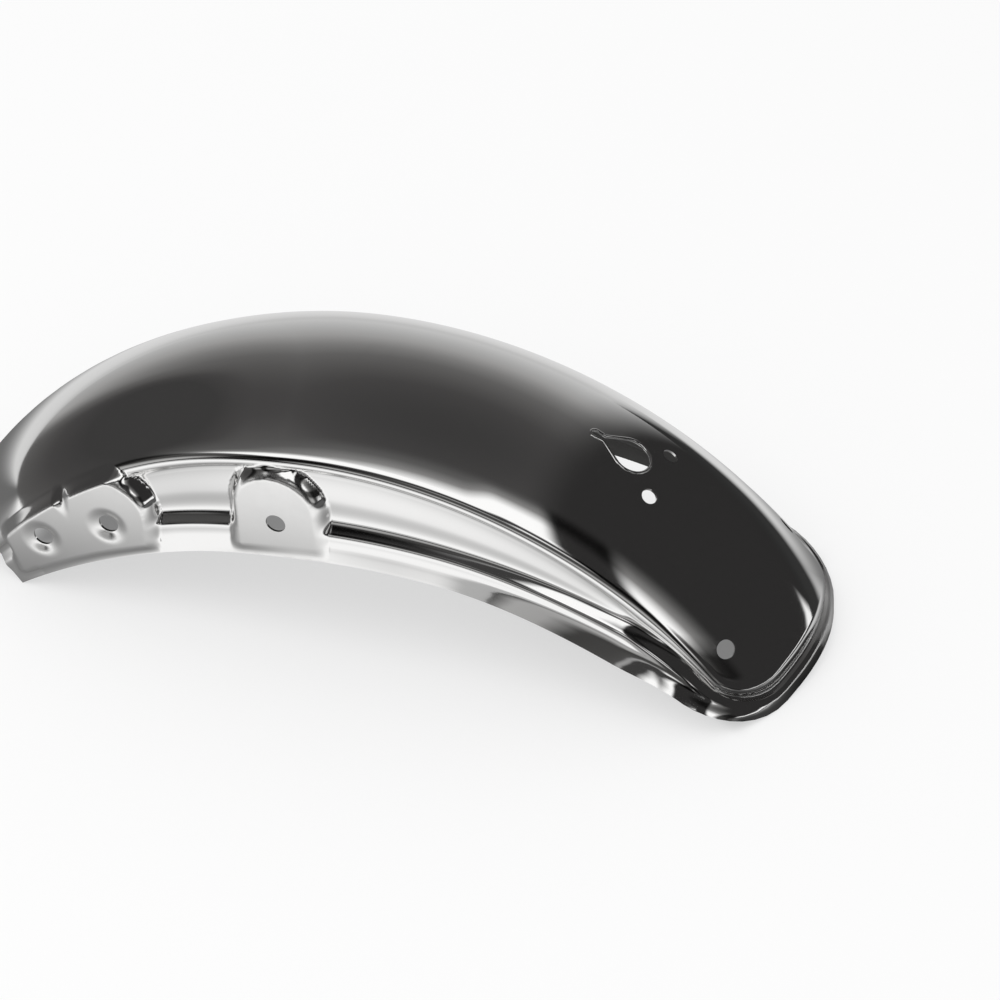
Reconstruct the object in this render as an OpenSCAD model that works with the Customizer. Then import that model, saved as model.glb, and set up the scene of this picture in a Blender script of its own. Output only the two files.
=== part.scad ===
// Rear mudguard of a motorcycle, pressed from one sheet.
// +X runs to the rear, +Y across the wheel, +Z up. The guard stands on its two ends.

/* [Crown] */
// Radius of the ridge line from the wheel axis
ridge_r = 340; // [300:1:380]
// Width across the crown at its two shoulders
crown_w = 143; // [125:1:160]
// Height of the ridge above the shoulders
crown_rise = 28; // [22:1:34]
// Angle from the top of the wheel back to the end of the crown
tail_deg = 50.9; // [46:0.5:56]
// Angle from the top of the wheel forward to the cut front edge
front_deg = 58; // [56:0.5:62]
// Radius of the two rounded corners of the crown at the tail
tail_corner_r = 28; // [20:1:34]
// How much narrower each shoulder stands at the front
front_narrow = 3; // [0:0.5:5]
// Thickness of the sheet
sheet = 1.5; // [1:0.1:2]

/* [Side] */
// Depth from the shoulder to the lower edge over the wheel
side_depth = 76; // [70:1:84]
// Outward bulge of the rounded shoulder
shoulder_out = 3.8; // [2.5:0.1:5]
// Depth of the rounded shoulder
shoulder_h = 8; // [6:0.5:10]
// Inward step from the shoulder to the panel
step_in = 4.4; // [3:0.1:6]
// Height of the flared lip along the side
lip_h = 19; // [15:0.5:23]
// How far the lip edge stands outside the shoulder line
lip_out = 8.4; // [7:0.2:10]
// How far the lip edge stands out beside the tail
lip_out_tail = 17.9; // [15:0.5:20]
// Length of the lip behind the end of the crown
tail_lip = 24.5; // [20:0.5:30]
// Drop of the lip edge behind the end of the crown
tail_drop = 7.5; // [6.5:0.5:10]

/* [Pads] */
// Width of one pressed pad
pad_w = 54; // [46:1:58]
// Height of one pressed pad
pad_h = 57; // [50:1:60]
// Distance from the pad bottom to its hole
pad_hole_z = 21; // [16:0.5:26]
// Bore of the pad holes
pad_hole_d = 13; // [8:0.5:16]
// Half distance between the flat faces of opposite pads
pad_face = 79.5; // [79:0.5:83]
// Lean of the pad arches from upright
pad_tilt = 4; // [0:0.5:8]
// Angle of the rear pads ahead of the lower arc's middle
pad_rear_deg = 11.1; // [10:0.1:13]
// Angle of the middle pads
pad_mid_deg = 25.5; // [24:0.1:26]
// Angle of the front pads
pad_front_deg = 31.7; // [31.2:0.1:32]

/* [Crown holes] */
// Angle of the pair of crown holes behind the top
pair_deg = 28.6; // [28:0.1:31]
// Distance between the two holes of the pair
pair_gap = 40; // [36:1:46]
// Bore of the pair
pair_d = 10; // [6:0.5:12]
// Angle of the two tail holes behind the top
tail_hole_deg = 45; // [42:0.5:46]
// Distance of each tail hole from the middle
tail_hole_y = 60.7; // [54:0.5:62]
// Bore of the tail holes
tail_hole_d = 12; // [8:0.5:13]
// Angle of the round end of the keyhole behind the top
key_deg = 25; // [24.5:0.1:25.5]
// Diameter of the round end of the keyhole
key_d = 25; // [18:0.5:26]
// Width of the narrow end of the keyhole
key_slot = 5; // [3:0.5:7]
// Distance from the round end to the narrow end
key_len = 26; // [22:0.5:30]

/* [Hidden] */
$fn = 48;

along = 40;
across = 20;
rows = 13;
around = 2 * along + across;
half_w = crown_w / 2;
crown_r = (half_w * half_w + crown_rise * crown_rise) / (2 * crown_rise);
tail_s = ridge_r * tail_deg * PI / 180;
front_s = -ridge_r * front_deg * PI / 180;
depth_slope = 0.0518;
depth_curve = 0.000503;
over = 1;

// Smooth step between 0 and 1
function ease(t) = let (u = min(1, max(0, t))) u * u * (3 - 2 * u);
// Angle of an arc length along the ridge
function turn(s) = s / ridge_r * 180 / PI;
// Drop of the crown under the ridge at a width
function drop(y) = crown_r - sqrt(crown_r * crown_r - y * y);
// Place across the crown, -1 to 1, closer together at the shoulders
function place(i) = sin(-90 + 180 * i / across);
// Share of the tail corner already turned at a width
function corner(y) = min(1, max(0, (abs(y) - half_w + tail_corner_r) / tail_corner_r));
// Arc length at which the crown ends for a width
function crown_end(y) = tail_s - tail_corner_r * (1 - sqrt(1 - corner(y) * corner(y)));
// Narrowing of the shoulders at the front
function narrow(s) = 1 - front_narrow / half_w * ease((-s - 60) / 120);

// Arc length and width of a point of the crown
function crown_sy(i, j) =
    let (y = half_w * place(i))
    [front_s + (crown_end(y) - front_s) * j / along, y];
// Point at an arc length, a width and a radius
function spot(s, y, r) = [r * sin(turn(s)), y, r * cos(turn(s))];
// Crown point, skin 0 is the outside and skin 1 the inside
function crown_point(i, j, skin) =
    let (q = crown_sy(i, j))
    let (tilt = asin(q.y / crown_r))
    spot(q.x, q.y * narrow(q.x) - skin * sheet * sin(tilt),
        ridge_r - drop(q.y) - skin * sheet * cos(tilt));

// Crown column and row met by a step of the walk round the rim
function rim_i(p) = p <= along ? 0 : (p <= along + across ? p - along : across);
function rim_j(p) = p <= along ? p : (p <= along + across ? along : around - p);
// Sine and cosine of the outward direction on that walk
function rim_sin(p) =
    let (y = half_w * place(rim_i(p)))
    sign(p - around / 2) * (rim_j(p) < along ? 1 : corner(y));
function rim_cos(p) = rim_j(p) < along ? 0 : sqrt(1 - pow(rim_sin(p), 2));

// Depth of the side at an arc length
function depth(s) = side_depth - depth_slope * s - depth_curve * s * s;
// Reach of the lip at an arc length
function reach(s) = lip_out + (lip_out_tail - lip_out) * ease((s - 60) / 220);

// Side section as reach and depth below the shoulder
function side_row(m, s) =
    let (deep = depth(s), out = reach(s))
    let (groove_h = 6, joggle_h = 6)
    let (k = min(1, deep / (shoulder_h + groove_h + joggle_h + lip_h + 4)))
    let (sh = shoulder_h * k, gh = groove_h * k, jh = joggle_h * k, lh = lip_h * k)
    let (inner = shoulder_out - step_in, top = sh + gh, low = deep - lh)
    let (crest = 0.42 * out + 0.8, foot = inner + 1.6)
    m == 0 ? [0, 0] :
    m == 1 ? [shoulder_out * 0.6, sh * 0.32] :
    m == 2 ? [shoulder_out * 0.96, sh * 0.72] :
    m == 3 ? [shoulder_out * 0.94, sh * 1.06] :
    m == 4 ? [shoulder_out - step_in * 0.5, sh + gh * 0.44] :
    m == 5 ? [inner + 0.2, sh + gh * 0.78] :
    m == 6 ? [inner, top + gh * 0.3] :
    m == 7 ? [(inner + foot) / 2 - 0.4, (top + low - jh) / 2 + gh * 0.1] :
    m == 8 ? [foot - 0.3, low - jh] :
    m == 9 ? [(foot + crest) / 2, low - jh * 0.45] :
    m == 10 ? [crest, low] :
    m == 11 ? [crest + (out - crest) * 0.2, low + lh * 0.3] :
    m == 12 ? [crest + (out - crest) * 0.62, low + lh * 0.68] :
    [out, deep];
// Section behind the end of the crown
function tail_row(m) =
    let (g = tail_lip * 0.42, e = tail_lip)
    m == 0 ? [0, 0] :
    m == 1 ? [g * 0.3, tail_drop * 0.06] :
    m == 2 ? [g * 0.55, tail_drop * 0.24] :
    m == 3 ? [g * 0.7, tail_drop * 0.5] :
    m == 4 ? [g * 0.82, tail_drop * 0.75] :
    m == 5 ? [g * 0.98, tail_drop * 0.9] :
    m == 6 ? [g * 1.14, tail_drop * 0.9] :
    m == 7 ? [g * 1.24, tail_drop * 0.8] :
    m == 8 ? [g * 1.34, tail_drop * 0.69] :
    m == 9 ? [g * 1.46, tail_drop * 0.6] :
    m == 10 ? [g * 1.6, tail_drop * 0.56] :
    m == 11 ? [e * 0.78, tail_drop * 0.62] :
    m == 12 ? [e * 0.91, tail_drop * 0.78] :
    [e, tail_drop];
// Section at one step of the walk, blended round the corner
function section(m, p) =
    let (q = crown_sy(rim_i(p), rim_j(p)))
    let (w = 0.25 * ease((q.x - 220) / 55) + 0.75 * pow(rim_cos(p), 0.9))
    side_row(m, q.x) * (1 - w) + tail_row(m) * w;
// Direction of the section at a row
function section_turn(m, p) =
    let (q = crown_sy(rim_i(p), rim_j(p)))
    let (slope = abs(q.y) * abs(rim_sin(p)) / sqrt(crown_r * crown_r - q.y * q.y))
    let (v = m == 0 ? [1, slope] : section(min(rows, m + 1), p) - section(m - 1, p))
    v / norm(v);
// Point of the side, skin 0 outside and skin 1 inside
function side_point(m, p, skin) =
    let (q = crown_sy(rim_i(p), rim_j(p)))
    let (t = section_turn(m, p))
    let (c = section(m, p) + skin * sheet * [-t.y, t.x])
    spot(q.x + c.x * rim_cos(p), q.y * narrow(q.x) + c.x * rim_sin(p),
        ridge_r - drop(q.y) - c.y);

// All points of one skin: the crown grid first, then the side rows
function skin_points(skin) = concat(
    [for (j = [0 : along], i = [0 : across]) crown_point(i, j, skin)],
    [for (p = [0 : around], m = [1 : rows]) side_point(m, p, skin)]);
crown_n = (along + 1) * (across + 1);
skin_n = crown_n + (around + 1) * rows;
// Number of a crown point and of a side point
function at_crown(i, j) = j * (across + 1) + i;
function at_side(m, p) = m == 0 ? at_crown(rim_i(p), rim_j(p)) : crown_n + p * rows + m - 1;
// Two triangles of a patch
function patch(a, b, c, d) = [[a, c, b], [a, d, c]];
// Closed walk along the free edge of the sheet
edge = concat(
    [for (m = [rows : -1 : 1]) at_side(m, 0)],
    [for (i = [0 : across]) at_crown(i, 0)],
    [for (m = [1 : rows]) at_side(m, around)],
    [for (p = [around - 1 : -1 : 1]) at_side(rows, p)]);
skin_faces = concat(
    [for (j = [0 : along - 1], i = [0 : across - 1])
        each patch(at_crown(i, j), at_crown(i, j + 1), at_crown(i + 1, j + 1), at_crown(i + 1, j))],
    [for (p = [0 : around - 1], m = [0 : rows - 1])
        each patch(at_side(m, p), at_side(m + 1, p), at_side(m + 1, p + 1), at_side(m, p + 1))]);
edge_n = len(edge);
shell_faces = concat(
    skin_faces,
    [for (f = skin_faces) [f[2] + skin_n, f[1] + skin_n, f[0] + skin_n]],
    [for (k = [0 : edge_n - 1])
        let (a = edge[k], b = edge[(k + 1) % edge_n])
        each patch(a, b, b + skin_n, a + skin_n)]);
shell_points = concat(skin_points(0), skin_points(1));

// Level stance: the guard is turned until the front corners and the tail lip share one floor
foot = side_point(rows, 0, 1);
tail_pts = [for (p = [along : along + across]) side_point(rows, p, 1)];
function slope_to(p) = atan2(p.z - foot.z, p.x - foot.x);
stance = min([for (p = tail_pts) slope_to(p)]);
function levelled(p) = [p.x * cos(stance) + p.z * sin(stance), p.y, -p.x * sin(stance) + p.z * cos(stance)];
level_points = [for (p = shell_points) levelled(p)];
floor_z = min([for (p = level_points) p.z]);
back_x = max([for (p = level_points) p.x]);
front_x = min([for (p = level_points) p.x]);

// Lower arc that carries the pads, through three points of the lower edge
function low_xz(s) = let (r = ridge_r - crown_rise - depth(s)) [r * sin(turn(s)), r * cos(turn(s))];
low_a = low_xz(-250);
low_b = low_xz(-60);
low_c = low_xz(120);
low_m = [low_b.x - low_a.x, low_b.y - low_a.y];
low_n = [low_c.x - low_b.x, low_c.y - low_b.y];
low_det = 2 * (low_m.x * low_n.y - low_m.y * low_n.x);
low_u = low_b * low_b - low_a * low_a;
low_v = low_c * low_c - low_b * low_b;
low_centre = [(low_u * low_n.y - low_v * low_m.y) / low_det, (low_v * low_m.x - low_u * low_n.x) / low_det];
low_r = norm(low_b - low_centre);
pad_gap = 5.5;
pad_round = 2;
pad_root = 5;
// Each pad as its angle and the lean of its arch
pads = [[pad_rear_deg, pad_rear_deg - pad_tilt], [pad_mid_deg, pad_mid_deg - pad_tilt], [pad_front_deg, 8]];
// Half width at which a pad grows out of the side
function pad_base(deg) = half_w * narrow(-ridge_r * deg * PI / 180) - 3;

// Outline of a pad leaning by an angle, grown by g, with its bottom edge at a height
function pad_line(g, low, lean) =
    let (r = pad_w / 2 + g, n = 16, side = [cos(lean), -sin(lean)], up = [sin(lean), cos(lean)])
    let (c = [0, pad_hole_z] + (pad_h - pad_w / 2 - pad_hole_z) * up)
    let (right = c + r * side, left = c - r * side)
    let (foot_r = right - (right.y - low) / up.y * up, foot_l = left - (left.y - low) / up.y * up)
    concat(
        [for (k = [0 : n]) c + r * (cos(180 * k / n) * side + sin(180 * k / n) * up)],
        [(left + foot_l) / 2, foot_l + 2 * up, foot_l + [2, 0], (foot_l + foot_r) / 2,
            foot_r - [2, 0], foot_r + 2 * up, (right + foot_r) / 2]);
// Stack of outlines closed at both ends
module stack(lines, heights) {
    n = len(lines[0]);
    last = len(lines) - 1;
    points = [for (k = [0 : last], q = lines[k]) [q.x, q.y, heights[k]]];
    walls = [for (k = [0 : last - 1], i = [0 : n - 1])
        each patch(k * n + i, k * n + (i + 1) % n, (k + 1) * n + (i + 1) % n, (k + 1) * n + i)];
    polyhedron(points, concat([[for (i = [0 : n - 1]) i]], walls,
        [[for (i = [n - 1 : -1 : 0]) last * n + i]]));
}
// Moves a shape drawn on a pad, bottom at the origin and face up, to the near side
module on_pad(deg) {
    translate([low_centre.x, 0, low_centre.y])
        rotate([0, -deg, 0])
            translate([0, 0, low_r + pad_gap])
                rotate([90, 0, 0])
                    children();
}
// Solid outside of a pad
module pad_out(lean, base) {
    stack([pad_line(pad_root, 0, lean), pad_line(pad_root * 0.3, 0, lean), pad_line(0, 0, lean),
            pad_line(-pad_round, pad_round / 2, lean)],
        [base, pad_face - pad_round * 1.6, pad_face - pad_round * 0.5, pad_face]);
}
// Pocket behind a pad
module pad_in(lean, base) {
    stack([pad_line(pad_root - sheet, sheet, lean), pad_line(pad_root * 0.3 - sheet, sheet, lean),
            pad_line(-sheet, sheet, lean), pad_line(-pad_round - sheet * 0.5, sheet + pad_round / 2, lean)],
        [base - 8, pad_face - pad_round * 1.6 - sheet, pad_face - pad_round * 0.5 - sheet,
            pad_face - sheet]);
}
// Round space under the shoulders that no pad may leave
module under_shoulder(gap) {
    rotate([90, 0, 0])
        cylinder(h = pad_face + over, r = ridge_r - crown_rise - gap);
}
// Raised collar behind a pad hole
module pad_collar() {
    translate([0, pad_hole_z, pad_face - sheet - 1.6])
        cylinder(h = 1.6 + over / 2, d = pad_hole_d + 11);
}
// Shallow cone pressed round a pad hole
module pad_dimple() {
    translate([0, pad_hole_z, pad_face - 1.5])
        cylinder(h = 1.5 + over, d1 = pad_hole_d, d2 = pad_hole_d + 15);
}
// Cutter for the keyhole, drawn flat with the round end at the origin
module keyhole() {
    slim = key_slot / 2;
    wide = key_d / 2;
    knee = key_len - 8;
    lean = acos((wide - slim) / knee);
    circle(d = key_d);
    translate([-key_len, 0])
        circle(d = key_slot);
    translate([-key_len, -slim])
        square([key_len, key_slot]);
    polygon([
        [-wide * cos(lean), wide * sin(lean)],
        [-knee - slim * cos(lean), slim * sin(lean)],
        [-knee - slim * cos(lean), -slim * sin(lean)],
        [-wide * cos(lean), -wide * sin(lean)],
        [0, 0]]);
}

module mudguard() {
    color([0.78, 0.79, 0.8])
        translate([-(back_x + front_x) / 2, 0, -floor_z])
            rotate([0, stance, 0])
                difference() {
                    union() {
                        polyhedron(shell_points, shell_faces);
                        for (side = [0, 1], pad = pads)
                            mirror([0, side, 0])
                                intersection() {
                                    on_pad(pad[0])
                                        pad_out(pad[1], pad_base(pad[0]));
                                    under_shoulder(1);
                                }
                    }
                    for (side = [0, 1], pad = pads)
                        mirror([0, side, 0])
                            intersection() {
                                on_pad(pad[0])
                                    difference() {
                                        pad_in(pad[1], pad_base(pad[0]));
                                        pad_collar();
                                    }
                                under_shoulder(1 + sheet);
                            }
                    for (side = [0, 1], deg = [pad_mid_deg, pad_front_deg])
                        mirror([0, side, 0])
                            on_pad(deg)
                                pad_dimple();
                    for (deg = [pad_rear_deg, pad_mid_deg, pad_front_deg])
                        on_pad(deg)
                            translate([0, pad_hole_z, -pad_face - over])
                                cylinder(h = 2 * pad_face + 2 * over, d = pad_hole_d);
                    for (y = [-pair_gap / 2, pair_gap / 2])
                        rotate([0, pair_deg, 0])
                            translate([0, y, ridge_r - crown_rise])
                                cylinder(h = 2 * crown_rise, d = pair_d);
                    for (side = [-1, 1])
                        rotate([0, tail_hole_deg, 0])
                            translate([0, side * tail_hole_y, ridge_r - drop(tail_hole_y)])
                                rotate([-side * asin(tail_hole_y / crown_r), 0, 0])
                                    translate([0, 0, -tail_hole_d])
                                        cylinder(h = 2 * tail_hole_d, d = tail_hole_d);
                    rotate([0, key_deg, 0])
                        translate([0, 0, ridge_r - key_d / 2])
                            linear_extrude(height = key_d)
                                keyhole();
                }
}

mudguard();
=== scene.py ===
"""Looks of a chromed motorcycle rear mudguard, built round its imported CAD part."""

import logging
import math
from dataclasses import dataclass, field
from enum import Enum
from typing import Any, Sequence

import bmesh
import bpy
import numpy as np
from mathutils import Euler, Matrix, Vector


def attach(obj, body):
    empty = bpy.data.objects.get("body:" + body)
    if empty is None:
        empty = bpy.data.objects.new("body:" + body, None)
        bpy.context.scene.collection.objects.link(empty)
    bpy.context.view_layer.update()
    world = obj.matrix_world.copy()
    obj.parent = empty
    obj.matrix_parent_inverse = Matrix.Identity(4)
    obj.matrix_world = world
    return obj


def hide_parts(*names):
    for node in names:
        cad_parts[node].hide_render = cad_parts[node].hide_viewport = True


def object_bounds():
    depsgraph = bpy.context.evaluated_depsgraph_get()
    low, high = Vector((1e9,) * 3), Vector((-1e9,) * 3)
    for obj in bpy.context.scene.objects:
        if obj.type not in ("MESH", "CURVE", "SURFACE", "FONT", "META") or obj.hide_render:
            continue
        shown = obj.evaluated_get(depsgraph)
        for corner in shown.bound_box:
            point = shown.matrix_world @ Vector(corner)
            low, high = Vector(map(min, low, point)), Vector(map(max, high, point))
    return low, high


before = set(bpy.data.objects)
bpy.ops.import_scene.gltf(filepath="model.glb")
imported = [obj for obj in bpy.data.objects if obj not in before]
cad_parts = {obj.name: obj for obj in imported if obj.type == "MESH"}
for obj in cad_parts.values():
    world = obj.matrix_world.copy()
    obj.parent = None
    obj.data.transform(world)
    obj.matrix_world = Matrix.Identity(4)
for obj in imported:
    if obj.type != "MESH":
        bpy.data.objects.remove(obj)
CAD_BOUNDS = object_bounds()
LOG = logging.getLogger("mudguard")
MM = 0.001
CLEARANCE = 2e-5

Array = np.ndarray
Trio = tuple[float, float, float]
Colour = Trio
Span = tuple[float, float]
Stops = tuple[tuple[float, Colour], ...]


class Flank(Enum):
    """The two sides of the wheel."""

    NEAR = -1
    FAR = 1


def ease(t: Array) -> Array:
    """Smooth step between 0 and 1."""
    u = np.clip(t, 0.0, 1.0)
    return u * u * (3.0 - 2.0 * u)


def deselect() -> None:
    """Leaves object mode with nothing selected."""
    if bpy.context.mode != "OBJECT":
        bpy.ops.object.mode_set(mode="OBJECT")
    bpy.ops.object.select_all(action="DESELECT")


def pick(obj: bpy.types.Object) -> None:
    """Makes one object the only selected and the active one.

    Args:
        obj: the object to pick.
    """
    deselect()
    obj.select_set(True)
    bpy.context.view_layer.objects.active = obj


def face_outwards() -> None:
    """Turns all faces outwards and leaves edit mode."""
    bpy.ops.mesh.select_all(action="SELECT")
    bpy.ops.mesh.normals_make_consistent(inside=False)
    bpy.ops.object.mode_set(mode="OBJECT")


def set_place(obj: bpy.types.Object, points: Array) -> None:
    """Moves all vertices of a mesh.

    Args:
        obj: the mesh object.
        points: one place in metres for each vertex.
    """
    obj.data.vertices.foreach_set("co", np.asarray(points, dtype=np.float32).ravel())
    obj.data.update()


@dataclass(frozen=True)
class Stance:
    """How the wheel axis lies in the part's frame, in millimetres and degrees."""

    tilt_deg: float = 4.33728
    axis_x: float = -6.26049
    axis_z: float = -164.236

    @property
    def hub(self) -> Vector:
        """Middle of the wheel in metres."""
        return Vector((self.axis_x, 0.0, self.axis_z)) * MM

    def outward(self, angle_deg: float) -> Vector:
        """Direction out from the wheel axis at an angle behind the top."""
        turn = math.radians(angle_deg + self.tilt_deg)
        return Vector((math.sin(turn), 0.0, math.cos(turn)))

    def to_frame(self, x: Array, y: Array, z: Array) -> Array:
        """Turns places about the wheel axis into places of the frame.

        Args:
            x: distance behind the wheel axis.
            y: distance across the wheel.
            z: height over the wheel axis.

        Returns:
            The places in metres, one row each.
        """
        turn = math.radians(self.tilt_deg)
        c, s = math.cos(turn), math.sin(turn)
        behind, over = x * c + z * s + self.axis_x, z * c - x * s + self.axis_z
        return np.stack([behind, y + 0.0 * x, over], axis=-1) * MM


@dataclass(frozen=True)
class Crown:
    """The rounded top of the guard, in millimetres and degrees."""

    ridge_r: float = 340.0
    width: float = 143.0
    rise: float = 28.0
    tail_deg: float = 50.9
    front_deg: float = 58.0
    corner_r: float = 28.0
    front_narrow: float = 3.0
    narrow_from: float = -60.0
    narrow_run: float = 120.0

    @property
    def half(self) -> float:
        """Half the width at the shoulders."""
        return self.width / 2.0

    @property
    def section_r(self) -> float:
        """Radius of the crown's cross section."""
        return (self.half**2 + self.rise**2) / (2.0 * self.rise)

    @property
    def tail_s(self) -> float:
        """Arc length of the ridge behind the top."""
        return self.ridge_r * math.radians(self.tail_deg)

    @property
    def front_s(self) -> float:
        """Arc length of the front edge, negative."""
        return -self.ridge_r * math.radians(self.front_deg)

    def drop(self, y: Array) -> Array:
        """Drop of the crown under the ridge at a width."""
        return self.section_r - np.sqrt(self.section_r**2 - y * y)

    def corner(self, y: Array) -> Array:
        """Share of a tail corner already turned at a width."""
        return np.clip((np.abs(y) - self.half + self.corner_r) / self.corner_r, 0.0, 1.0)

    def end(self, y: Array) -> Array:
        """Arc length at which the crown ends for a width."""
        return self.tail_s - self.corner_r * (1.0 - np.sqrt(1.0 - self.corner(y) ** 2))

    def narrow(self, s: Array) -> Array:
        """Narrowing of the shoulders towards the front."""
        return 1.0 - self.front_narrow / self.half * ease((self.narrow_from - s) / self.narrow_run)

    def polar(self, s: Array, y: Array, r: Array, stance: Stance) -> Array:
        """Place of an arc length, a width and a radius.

        Args:
            s: arc length along the ridge.
            y: width across the wheel.
            r: radius from the wheel axis.
            stance: how the wheel axis lies in the frame.

        Returns:
            The places in metres.
        """
        turn = s / self.ridge_r
        return stance.to_frame(r * np.sin(turn), y, r * np.cos(turn))


@dataclass(frozen=True)
class Skirt:
    """Shoulder, panel and lip under the crown's edge, in millimetres."""

    depth: float = 76.0
    slope: float = 0.0518
    curve: float = 0.000503
    shoulder_out: float = 3.8
    shoulder_h: float = 8.0
    step_in: float = 4.4
    lip_h: float = 19.0
    lip_out: float = 8.4
    lip_out_tail: float = 17.9
    tail_lip: float = 24.5
    tail_drop: float = 7.5
    flare_from: float = 60.0
    flare_run: float = 220.0
    groove_h: float = 6.0
    foot_h: float = 6.0
    spare_h: float = 16.0
    rows: tuple[int, ...] = (4, 4, 3, 3, 3, 2, 13, 13, 3, 3, 3, 4, 3)

    def depth_at(self, s: Array) -> Array:
        """Depth of the side at an arc length."""
        return self.depth - self.slope * s - self.curve * s * s

    def reach_at(self, s: Array) -> Array:
        """Reach of the lip edge at an arc length."""
        flare = ease((s - self.flare_from) / self.flare_run)
        return self.lip_out + (self.lip_out_tail - self.lip_out) * flare

    def side_knots(self, s: Array) -> Array:
        """Knots of the side section.

        Args:
            s: arc length of each station.

        Returns:
            Reach and depth of the 14 knots of each station.
        """
        deep, out = self.depth_at(s), self.reach_at(s)
        squeeze = np.minimum(1.0, deep / (self.shoulder_h + self.spare_h + self.lip_h))
        sh, gh = self.shoulder_h * squeeze, self.groove_h * squeeze
        jh, lh = self.foot_h * squeeze, self.lip_h * squeeze
        bulge, inner = self.shoulder_out, self.shoulder_out - self.step_in + 0.0 * s
        top, low = sh + gh, deep - lh
        crest, foot = 0.42 * out + 0.8, inner + 1.6
        one = 1.0 + 0.0 * s
        shoulder = [
            (0.0 * s, 0.0 * s),
            (bulge * 0.6 * one, sh * 0.32),
            (bulge * 0.96 * one, sh * 0.72),
            (bulge * 0.94 * one, sh * 1.06),
            ((bulge - self.step_in * 0.5) * one, sh + gh * 0.44),
            (inner + 0.2, sh + gh * 0.78),
        ]
        panel = [
            (inner, top + gh * 0.3),
            ((inner + foot) / 2.0 - 0.4, (top + low - jh) / 2.0 + gh * 0.1),
            (foot - 0.3, low - jh),
            ((foot + crest) / 2.0, low - jh * 0.45),
        ]
        lip = [
            (crest, low),
            (crest + (out - crest) * 0.2, low + lh * 0.3),
            (crest + (out - crest) * 0.62, low + lh * 0.68),
            (out, deep),
        ]
        return np.stack([np.stack(knot, axis=-1) for knot in shoulder + panel + lip], axis=1)

    def tail_knots(self) -> Array:
        """Draws the section of the lip behind the crown's end.

        Returns:
            Reach and depth of its 14 knots.
        """
        g, e, d = self.tail_lip * 0.42, self.tail_lip, self.tail_drop
        shares = (
            (0.0, 0.0), (g * 0.3, 0.06), (g * 0.55, 0.24), (g * 0.7, 0.5), (g * 0.82, 0.75),
            (g * 0.98, 0.9), (g * 1.14, 0.9), (g * 1.24, 0.8), (g * 1.34, 0.69), (g * 1.46, 0.6),
            (g * 1.6, 0.56), (e * 0.78, 0.62), (e * 0.91, 0.78), (e, 1.0),
        )
        return np.array([(reach, share * d) for reach, share in shares])

    def smooth_rows(self, knots: Array, slope: Array) -> Array:
        """Runs a smooth curve through the knots of each station.

        Args:
            knots: reach and depth of the knots, station by station.
            slope: slope of the crown where the section starts.

        Returns:
            Reach and depth of each row below the crown's edge.
        """
        step = knots[:, 1:] - knots[:, :-1]
        span = np.linalg.norm(step, axis=-1, keepdims=True)
        rate = step / span
        lean = np.empty_like(knots)
        meet = rate[:, :-1] * span[:, 1:] + rate[:, 1:] * span[:, :-1]
        lean[:, 1:-1] = meet / (span[:, :-1] + span[:, 1:])
        first = np.stack([np.ones_like(slope), slope], axis=-1)
        lean[:, 0] = first / np.linalg.norm(first, axis=-1, keepdims=True)
        lean[:, -1] = rate[:, -1]
        rows = []
        for k, count in enumerate(self.rows):
            a, b, h = knots[:, k], knots[:, k + 1], span[:, k]
            for n in range(1, count + 1):
                t = n / count
                rows.append(
                    (2 * t**3 - 3 * t**2 + 1) * a
                    + (t**3 - 2 * t**2 + t) * h * lean[:, k]
                    + (3 * t**2 - 2 * t**3) * b
                    + (t**3 - t**2) * h * lean[:, k + 1]
                )
        return np.stack(rows, axis=1)


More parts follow.
